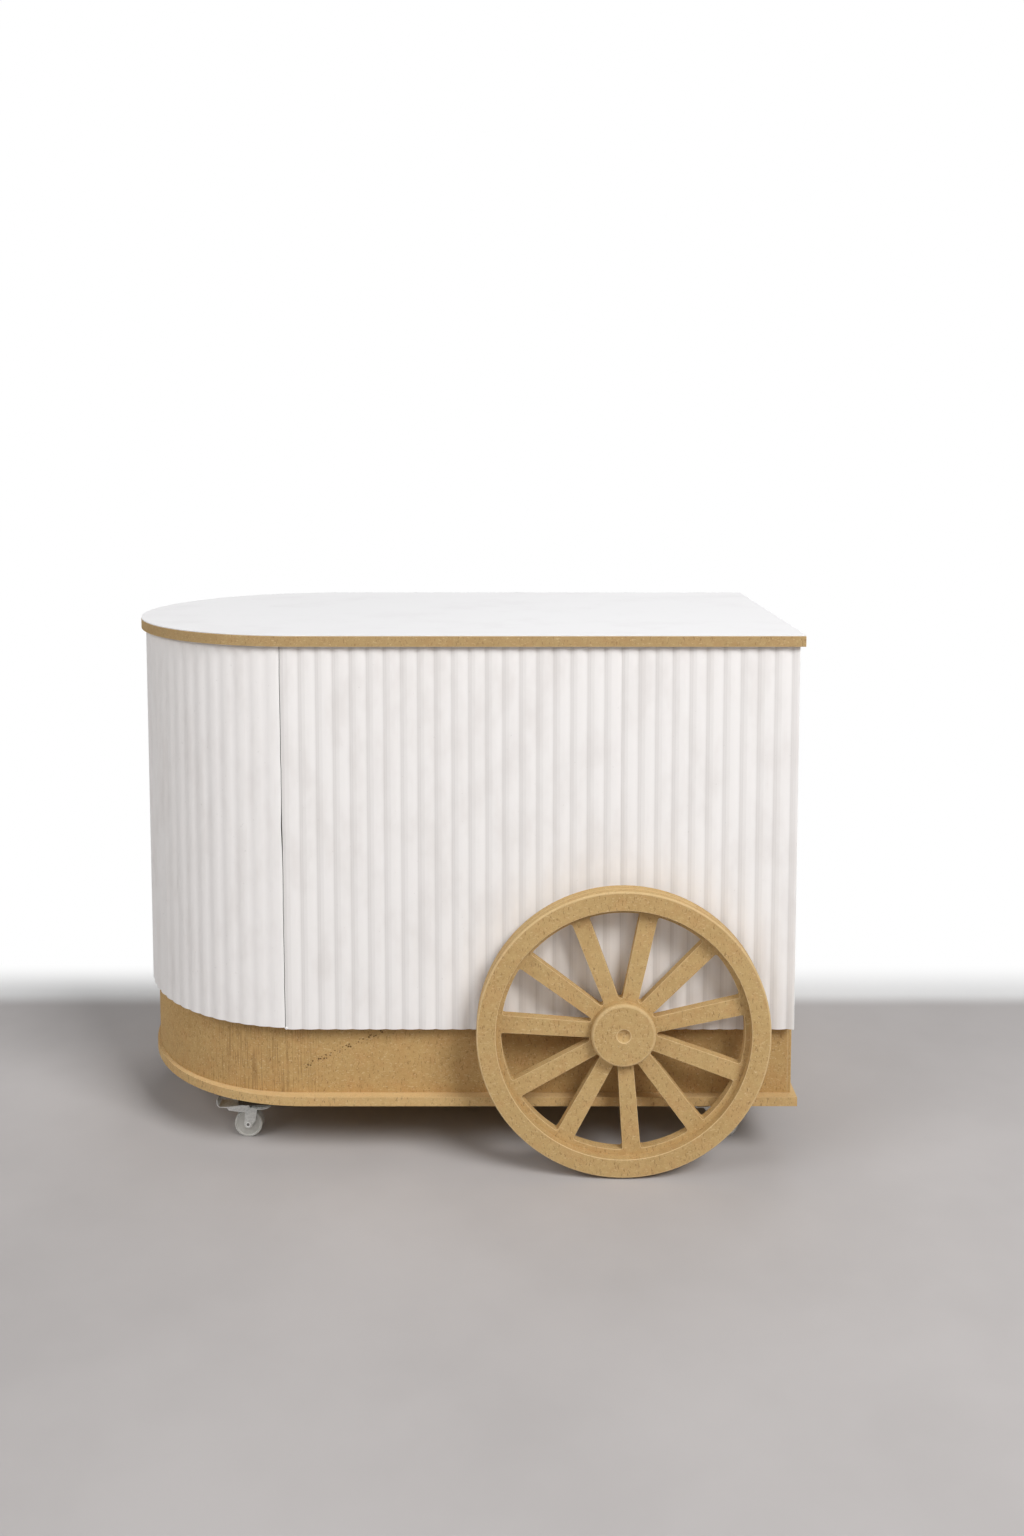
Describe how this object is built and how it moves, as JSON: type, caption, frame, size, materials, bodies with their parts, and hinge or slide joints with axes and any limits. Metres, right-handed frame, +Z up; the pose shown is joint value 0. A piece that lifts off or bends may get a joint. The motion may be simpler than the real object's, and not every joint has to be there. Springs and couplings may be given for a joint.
{
  "type": "merchandising cart",
  "caption": "Display cart with a flat top, one half-round end, a fluted skin, open bays behind, a raw board plinth, a spoked show wheel and braked swivel castors.",
  "frame": {"origin": "on the floor, under the middle of the whole cart with its show wheel", "axes": "+X from the round end to the square end, +Y from the fluted front to the open back, +Z up"},
  "size_m": [1.2, 0.727, 0.93],
  "materials": {
    "mdf": "raw sanded fibreboard",
    "painted_flutes": "satin white paint on fluted fibreboard",
    "white_laminate": "smooth white sheet",
    "zinc_steel": "zinc plated",
    "nylon": "moulded nylon"
  },
  "bodies": {
    "cart": {"top_sheet": "white_laminate", "top_board": "mdf", "carcass_top": "mdf", "carcass_floor": "mdf", "base_board": "mdf", "upright_left": "mdf", "upright_middle": "mdf", "upright_right": "mdf", "shelf_left": "mdf", "shelf_right": "mdf", "round_former": "mdf", "plinth_band_curved": "mdf", "plinth_band_front": "mdf", "plinth_band_end": "mdf", "plinth_band_rear": "mdf", "plinth_former_lower": "mdf", "plinth_former_upper": "mdf", "plinth_rib_left": "mdf", "plinth_rib_right": "mdf", "plinth_rail_front": "mdf", "plinth_rail_rear": "mdf", "axle_block": "mdf", "axle_pad": "mdf", "castor_block_front_left": "mdf", "castor_block_front_right": "mdf", "castor_block_rear_left": "mdf", "castor_block_rear_right": "mdf", "fluted_sheet_curved": "painted_flutes", "fluted_sheet_front": "painted_flutes", "fluted_sheet_end": "painted_flutes", "base_screws": "zinc_steel", "axle_bolt": "zinc_steel", "axle_nut": "zinc_steel", "axle_washers": "zinc_steel", "castor_screws": "zinc_steel", "castor_kingpins": "zinc_steel", "castor_plate_front_left": "zinc_steel", "castor_plate_front_right": "zinc_steel", "castor_plate_rear_left": "zinc_steel", "castor_plate_rear_right": "zinc_steel"},
    "show_wheel": {"wheel_spoke_board": "mdf", "wheel_rim_ring": "mdf", "wheel_hub_disc": "mdf", "wheel_bush": "nylon"},
    "fork_front_left": {"castor_fork_front_left": "zinc_steel", "castor_axle_front_left": "zinc_steel"},
    "roller_front_left": {"castor_wheel_front_left": "nylon"},
    "fork_front_right": {"castor_fork_front_right": "zinc_steel", "castor_axle_front_right": "zinc_steel"},
    "roller_front_right": {"castor_wheel_front_right": "nylon"},
    "fork_rear_left": {"castor_fork_rear_left": "zinc_steel", "castor_axle_rear_left": "zinc_steel"},
    "roller_rear_left": {"castor_wheel_rear_left": "nylon"},
    "fork_rear_right": {"castor_fork_rear_right": "zinc_steel", "castor_axle_rear_right": "zinc_steel"},
    "roller_rear_right": {"castor_wheel_rear_right": "nylon"},
    "pedal_front_left": {"brake_pedal_front_left": "zinc_steel"},
    "pedal_front_right": {"brake_pedal_front_right": "zinc_steel"}
  },
  "joints": [
    {"name": "show_wheel_spin", "type": "hinge", "parent": "cart", "child": "show_wheel", "pos_m": [0.293, -0.3365, 0.253], "axis": [0, 1, 0], "continuous": true},
    {"name": "swivel_front_left", "type": "hinge", "parent": "cart", "child": "fork_front_left", "pos_m": [-0.351, -0.2065, 0.06], "axis": [0, 0, 1], "continuous": true},
    {"name": "roll_front_left", "type": "hinge", "parent": "fork_front_left", "child": "roller_front_left", "pos_m": [-0.373, -0.2065, 0.025], "axis": [0, 1, 0], "continuous": true},
    {"name": "swivel_front_right", "type": "hinge", "parent": "cart", "child": "fork_front_right", "pos_m": [0.51, -0.2065, 0.06], "axis": [0, 0, 1], "continuous": true},
    {"name": "roll_front_right", "type": "hinge", "parent": "fork_front_right", "child": "roller_front_right", "pos_m": [0.488, -0.2065, 0.025], "axis": [0, 1, 0], "continuous": true},
    {"name": "swivel_rear_left", "type": "hinge", "parent": "cart", "child": "fork_rear_left", "pos_m": [-0.351, 0.2535, 0.06], "axis": [0, 0, 1], "continuous": true},
    {"name": "roll_rear_left", "type": "hinge", "parent": "fork_rear_left", "child": "roller_rear_left", "pos_m": [-0.373, 0.2535, 0.025], "axis": [0, 1, 0], "continuous": true},
    {"name": "swivel_rear_right", "type": "hinge", "parent": "cart", "child": "fork_rear_right", "pos_m": [0.51, 0.2535, 0.06], "axis": [0, 0, 1], "continuous": true},
    {"name": "roll_rear_right", "type": "hinge", "parent": "fork_rear_right", "child": "roller_rear_right", "pos_m": [0.488, 0.2535, 0.025], "axis": [0, 1, 0], "continuous": true},
    {"name": "brake_front_left", "type": "hinge", "parent": "fork_front_left", "child": "pedal_front_left", "pos_m": [-0.373, -0.2065, 0.055], "axis": [0, -1, 0], "range_deg": [0, 11]},
    {"name": "brake_front_right", "type": "hinge", "parent": "fork_front_right", "child": "pedal_front_right", "pos_m": [0.488, -0.2065, 0.055], "axis": [0, -1, 0], "range_deg": [0, 11]}
  ]
}
